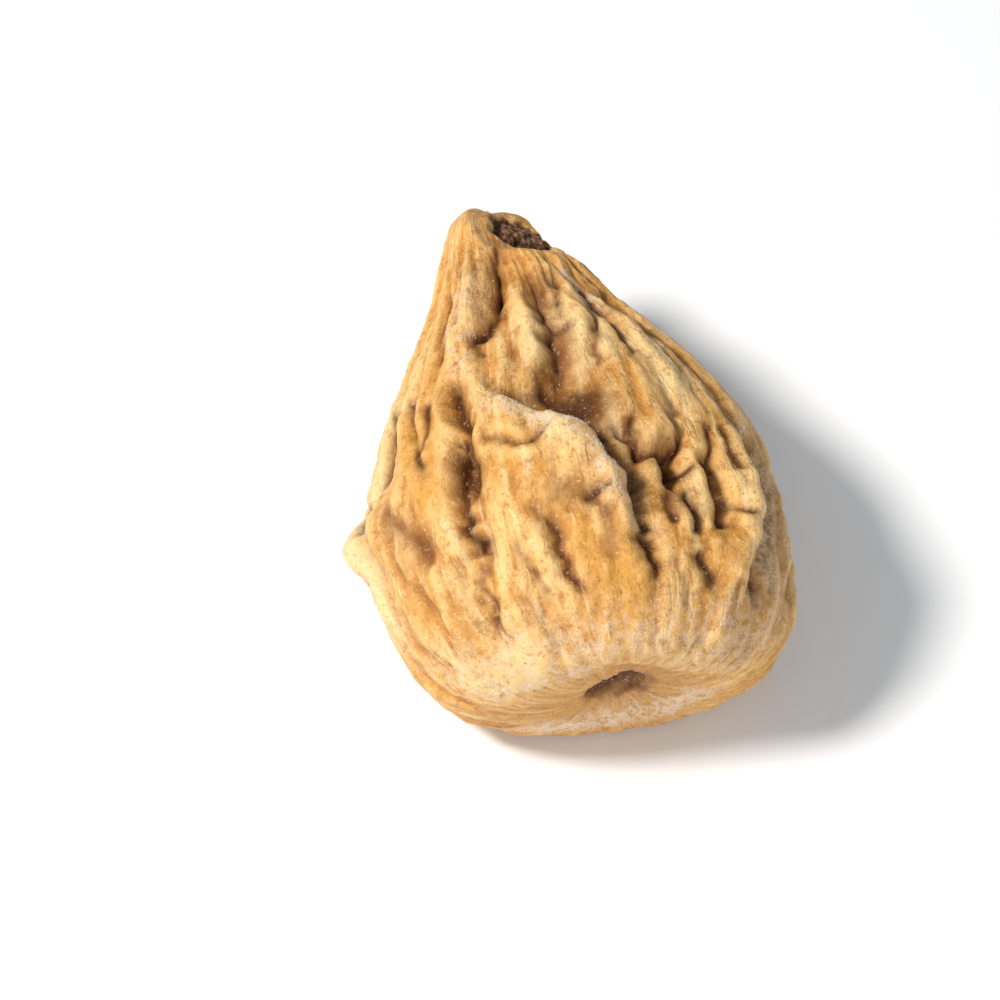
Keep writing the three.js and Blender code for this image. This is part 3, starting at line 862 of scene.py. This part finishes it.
# Painted shade along the hair-thin wrinkles.
colour = tinted(colour, ORANGE_BROWN, times(wrinkle, 0.2))
colour = tinted(colour, BRIGHT_STREAK, times(spread(fine_streaks, 0.54, 0.66), 0.6))
colour = tinted(colour, DEEP_AMBER, times(mark("amber"), 0.8))
colour = tinted(colour, PALE_CREAM, times(mark("pale"), 0.45))
# Brown of the skin, and painted shade where it is brushed in the hollow under the ledge and along
# the long left crease.
colour = tinted(colour, SKIN_BROWN_AND_SHADE, times(brown_and_shade, 0.9))
colour = tinted(colour, ORANGE_BROWN, spread(skin_grain, 0.48, 0.34, 0.0, 0.55))
colour = tinted(colour, CREAM, spread(skin_grain, 0.54, 0.68, 0.0, 0.5))
colour = tinted(colour, RED_BROWN, times(mark("red"), 0.6))
# Painted shade: near-black brown in the grooves, at the foot of the ledge and in the trench round
# the scar.
colour = tinted(colour, SHADE_BROWN, times(mark("painted_shade"), 0.97))
colour = tinted(colour, BASE_HONEY, times(mark("base_end"), 0.55))
colour = tinted(colour, DUSTY, dust)
colour = tinted(colour, ORANGE_BROWN, spread(specks, 0.42, 0.30, 0.0, 0.6))
colour = tinted(colour, PALE_SPECK, spread(specks, 0.60, 0.70, 0.0, 0.4))
colour = tinted(colour, tinted(EYE_DARK, EYE_FLESH, torn), mark("eye"))
colour = tinted(colour, tinted(SCAR_DARK, SCAR_FIBRE, torn), mark("stem"))

surface = node("ShaderNodeBsdfPrincipled")
join(colour, surface.inputs["Base Color"])
rough = spread(noise(here, 900.0, 4.0), 0.3, 0.7, 0.36, 0.56)
join(rough, surface.inputs["Roughness"])
dull = worked_out("MAXIMUM", worked_out("MAXIMUM", mark("painted_shade"), mark("brown")), mark("stem"))
join(spread(dull, 0.0, 1.0, 0.5, 0.1), surface.inputs["Specular IOR Level"])
surface.inputs["Subsurface Weight"].default_value = 0.12
surface.inputs["Subsurface Radius"].default_value = (1.0, 0.42, 0.16)
surface.inputs["Subsurface Scale"].default_value = 0.0007


def bumped(height, strength, distance, under=None, invert=False):
    made = node("ShaderNodeBump", invert=invert)
    made.inputs["Strength"].default_value = strength
    made.inputs["Distance"].default_value = distance
    join(height, made.inputs["Height"])
    if under is not None:
        join(under, made.inputs["Normal"])
    return made.outputs["Normal"]


relief = bumped(skin_grain, 0.75, 0.4 * MM)
relief = bumped(noise(lengthwise, 1.5, 4.0, 0.6, 0.4), 0.45, 0.5 * MM, relief)
relief = bumped(wrinkle, 0.3, 0.3 * MM, relief, invert=True)
join(relief, surface.inputs["Normal"])
output = node("ShaderNodeOutputMaterial")
join(surface.outputs["BSDF"], output.inputs["Surface"])
mesh.materials.append(skin)

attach(fig, "root")
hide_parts("dried_fig")

# ---------------------------------------------------------------------------------------------
# The sugar
# Fruit sugar that has crept out through the skin and dried there as fine white grains, thickest
# round the base, in the eye and on the crests. The grains are scattered by a Geometry Nodes tree.
# ---------------------------------------------------------------------------------------------
GRAINS_PER_SQUARE_METRE = 30.0e6
GRAIN_SIZE = 0.085 * MM
GRAIN_SEED = 4
SUGAR_WHITE = (0.80, 0.69, 0.56)
sugar = bpy.data.materials.new("sugar")
sugar.use_nodes = True
grain_finish = sugar.node_tree.nodes["Principled BSDF"]
grain_finish.inputs["Base Color"].default_value = (*SUGAR_WHITE, 1)
grain_finish.inputs["Subsurface Weight"].default_value = 0.3
grain_finish.inputs["Subsurface Radius"].default_value = (1.0, 0.9, 0.8)
grain_finish.inputs["Subsurface Scale"].default_value = 0.0002
tree = sugar.node_tree
here = node("ShaderNodeTexCoord").outputs["Object"]
join(bumped(noise(here, 9000.0, 2.0), 0.4, 0.05 * MM), grain_finish.inputs["Normal"])
join(spread(noise(here, 3000.0, 2.0), 0.3, 0.7, 0.28, 0.5), grain_finish.inputs["Roughness"])

sugar_tree = bpy.data.node_groups.new("sugar_grains", "GeometryNodeTree")
sugar_tree.is_modifier = True
face = sugar_tree.interface
face.new_socket("Geometry", in_out="INPUT", socket_type="NodeSocketGeometry")
for socket_name, kind in (("Grains per Square Metre", "NodeSocketFloat"),
                          ("Grain Size", "NodeSocketFloat"), ("Seed", "NodeSocketInt")):
    face.new_socket(socket_name, in_out="INPUT", socket_type=kind)
face.new_socket("Geometry", in_out="OUTPUT", socket_type="NodeSocketGeometry")
tree = sugar_tree
given = node("NodeGroupInput").outputs
bloom_here = node("GeometryNodeInputNamedAttribute", data_type="FLOAT")
bloom_here.inputs["Name"].default_value = "sugar"
density = node("ShaderNodeMath", operation="MULTIPLY")
join(bloom_here.outputs["Attribute"], density.inputs[0])
join(given["Grains per Square Metre"], density.inputs[1])
scattered = node("GeometryNodeDistributePointsOnFaces", distribute_method="RANDOM")
join(given["Geometry"], scattered.inputs["Mesh"])
join(density.outputs[0], scattered.inputs["Density"])
join(given["Seed"], scattered.inputs["Seed"])
FULL_TURN = 6.28
crystal = node("GeometryNodeMeshIcoSphere")
crystal.inputs["Radius"].default_value = 1.0
crystal.inputs["Subdivisions"].default_value = 1
turned = node("FunctionNodeRandomValue", data_type="FLOAT_VECTOR")
turned.inputs[1].default_value = (FULL_TURN, FULL_TURN, FULL_TURN)
join(given["Seed"], turned.inputs["Seed"])
stretched = node("FunctionNodeRandomValue", data_type="FLOAT_VECTOR")
stretched.inputs[0].default_value = (0.35, 0.35, 0.25)
stretched.inputs[1].default_value = (1.0, 1.0, 0.7)
join(given["Seed"], stretched.inputs["Seed"])
sized = node("ShaderNodeVectorMath", operation="SCALE")
join(stretched.outputs[0], sized.inputs[0])
join(given["Grain Size"], sized.inputs["Scale"])
placed = node("GeometryNodeInstanceOnPoints")
join(scattered.outputs["Points"], placed.inputs["Points"])
join(crystal.outputs["Mesh"], placed.inputs["Instance"])
join(turned.outputs[0], placed.inputs["Rotation"])
join(sized.outputs["Vector"], placed.inputs["Scale"])
loose = node("GeometryNodeRealizeInstances")
join(placed.outputs["Instances"], loose.inputs["Geometry"])
finished = node("GeometryNodeSetMaterial")
finished.inputs["Material"].default_value = sugar
join(loose.outputs["Geometry"], finished.inputs["Geometry"])
join(finished.outputs["Geometry"], node("NodeGroupOutput").inputs["Geometry"])

carrier = bpy.data.objects.new("sugar_carrier", mesh.copy())
bpy.context.scene.collection.objects.link(carrier)
scatter = carrier.modifiers.new("sugar_grains", "NODES")
scatter.node_group = sugar_tree
socket_of = {item.name: item.identifier for item in face.items_tree if item.in_out == "INPUT"}
scatter[socket_of["Grains per Square Metre"]] = GRAINS_PER_SQUARE_METRE
scatter[socket_of["Grain Size"]] = GRAIN_SIZE
scatter[socket_of["Seed"]] = GRAIN_SEED
settled = carrier.evaluated_get(bpy.context.evaluated_depsgraph_get())
grain_mesh = bpy.data.meshes.new_from_object(settled)
grain_mesh.name = "sugar_grains"
bpy.data.objects.remove(carrier)
grains = bpy.data.objects.new("sugar_grains", grain_mesh)
bpy.context.scene.collection.objects.link(grains)
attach(grains, "root")

# ---------------------------------------------------------------------------------------------
# The table, the light and the camera
# A plain white board under soft daylight from the upper left, with a white wall in front that
# throws some of it back.
# ---------------------------------------------------------------------------------------------
BOARD_HALF = 3.0
board_corners = [(x * BOARD_HALF, y * BOARD_HALF, 0) for x, y in
                 ((-1, -1), (1, -1), (1, 1), (-1, 1))]
board_mesh = bpy.data.meshes.new("board")
board_mesh.from_pydata(board_corners, [], [(0, 1, 2, 3)])
board = bpy.data.objects.new("board", board_mesh)
bpy.context.scene.collection.objects.link(board)
board_paint = bpy.data.materials.new("board")
board_paint.use_nodes = True
paint = board_paint.node_tree.nodes["Principled BSDF"]
paint.inputs["Base Color"].default_value = (0.88, 0.88, 0.88, 1)
paint.inputs["Roughness"].default_value = 0.8
board_mesh.materials.append(board_paint)

world = bpy.data.worlds.new("room")
world.use_nodes = True
sky = world.node_tree.nodes["Background"]
sky.inputs["Color"].default_value = (0.82, 0.91, 1.0, 1)
sky.inputs["Strength"].default_value = 0.34
bpy.context.scene.world = world


def soft_light(name, place, aim, size, power, colour):
    lamp = bpy.data.lights.new(name, "AREA")
    lamp.shape = "DISK"
    lamp.size = size
    lamp.energy = power
    lamp.color = colour
    made = bpy.data.objects.new(name, lamp)
    made.location = place
    made.rotation_mode = "QUATERNION"
    made.rotation_quaternion = (Vector(aim) - Vector(place)).to_track_quat("-Z", "Y")
    bpy.context.scene.collection.objects.link(made)


LIT = (0, 0, 0.01)
soft_light("window", (-0.33, 0.03, 0.41), LIT, size=0.12, power=3.15, colour=(1.0, 0.975, 0.94))
soft_light("white_wall", (0.02, -0.55, 0.26), LIT, size=0.40, power=1.6, colour=(1.0, 0.98, 0.95))

CAMERA_AROUND = math.radians(-12.4)
CAMERA_UP = math.radians(54)
CAMERA_AWAY = 0.360
FRAME_WIDTH = 0.0885
SENSOR_WIDTH = 36
EYE_RIGHT_OF_MIDDLE = 0.0099
EYE_BELOW_MIDDLE = 0.0161
back_way = Vector((math.sin(CAMERA_AROUND) * math.cos(CAMERA_UP),
                   -math.cos(CAMERA_AROUND) * math.cos(CAMERA_UP), math.sin(CAMERA_UP)))
right_way = Vector((math.cos(CAMERA_AROUND), math.sin(CAMERA_AROUND), 0))
up_way = back_way.cross(right_way)
aim = plain_skin(np.array(0.0), np.array(0.0))
aim[2] -= table_height
aim = Vector((aim + to_frame) * MM)
lens_data = bpy.data.cameras.new("camera")
lens_data.sensor_width = SENSOR_WIDTH
lens_data.lens = SENSOR_WIDTH * CAMERA_AWAY / FRAME_WIDTH
camera = bpy.data.objects.new("camera", lens_data)
camera.location = (aim + back_way * CAMERA_AWAY - right_way * EYE_RIGHT_OF_MIDDLE
                   + up_way * EYE_BELOW_MIDDLE)
camera.rotation_mode = "QUATERNION"
camera.rotation_quaternion = Matrix((right_way, up_way, back_way)).transposed().to_quaternion()
bpy.context.scene.collection.objects.link(camera)
bpy.context.scene.camera = camera
bpy.context.scene.view_settings.view_transform = "Standard"
